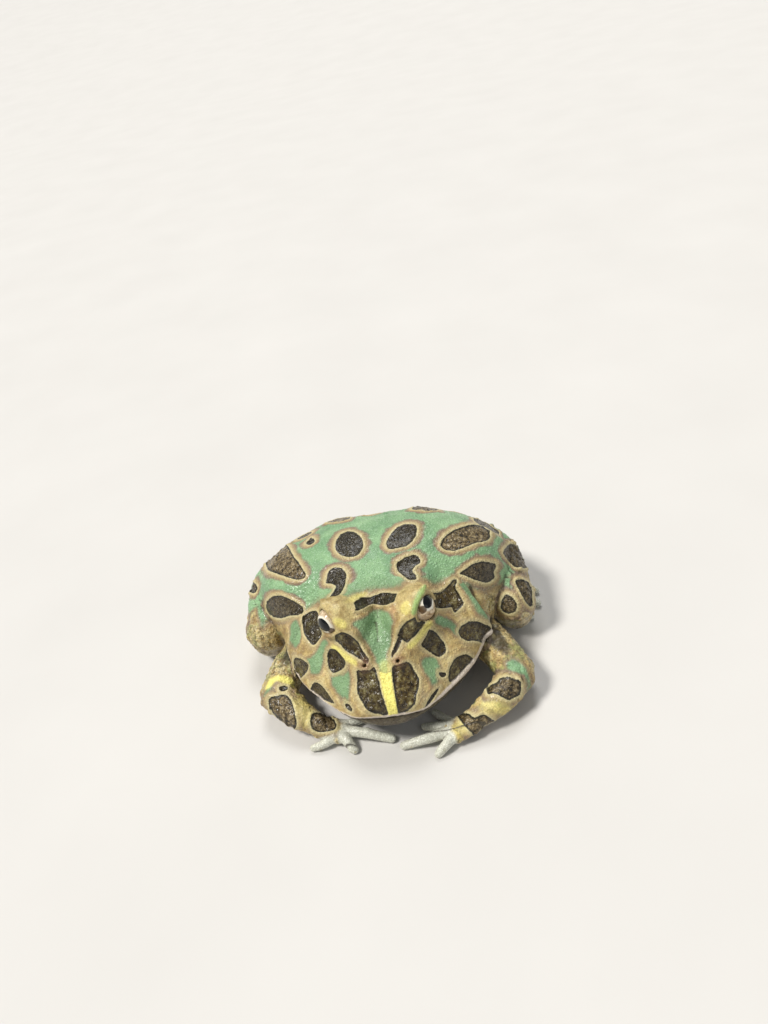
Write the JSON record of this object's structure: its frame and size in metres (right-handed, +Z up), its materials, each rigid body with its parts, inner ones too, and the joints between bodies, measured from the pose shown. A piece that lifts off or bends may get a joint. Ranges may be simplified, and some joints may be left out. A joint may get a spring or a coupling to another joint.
{
  "type": "argentine horned frog",
  "caption": "Broad, squat horned frog at life size, sitting on its belly with its hands turned in under a wide mouth, and a low pointed flap over each eye.",
  "frame": {"origin": "on the floor under the belly, on the frog's midline", "axes": "+Z up, -Y the way the frog faces, +X towards the frog's left side"},
  "size_m": [0.1036, 0.097, 0.0401],
  "materials": {
    "skin_back": "moist, finely granular",
    "skin_face": "moist, finely granular",
    "skin_tan": "moist, finely granular",
    "skin_dark": "moist, wrinkled",
    "skin_pale": "moist, smooth",
    "eye": "wet gloss"
  },
  "bodies": {
    "root": {"eye_left": "eye", "eye_right": "eye", "foot_left": "skin_pale", "foot_right": "skin_pale", "forearm_left": "skin_tan", "forearm_right": "skin_tan", "hand_left": "skin_pale", "hand_right": "skin_pale", "head": "skin_face", "lower_jaw": "skin_dark", "lower_lid_left": "skin_pale", "lower_lid_right": "skin_pale", "shank_left": "skin_tan", "shank_right": "skin_tan", "thigh_left": "skin_back", "thigh_right": "skin_back", "torso": "skin_back", "tympanum_left": "skin_tan", "tympanum_right": "skin_tan", "upper_arm_left": "skin_tan", "upper_arm_right": "skin_tan", "upper_lid_left": "skin_tan", "upper_lid_right": "skin_tan"}
  },
  "joints": []
}
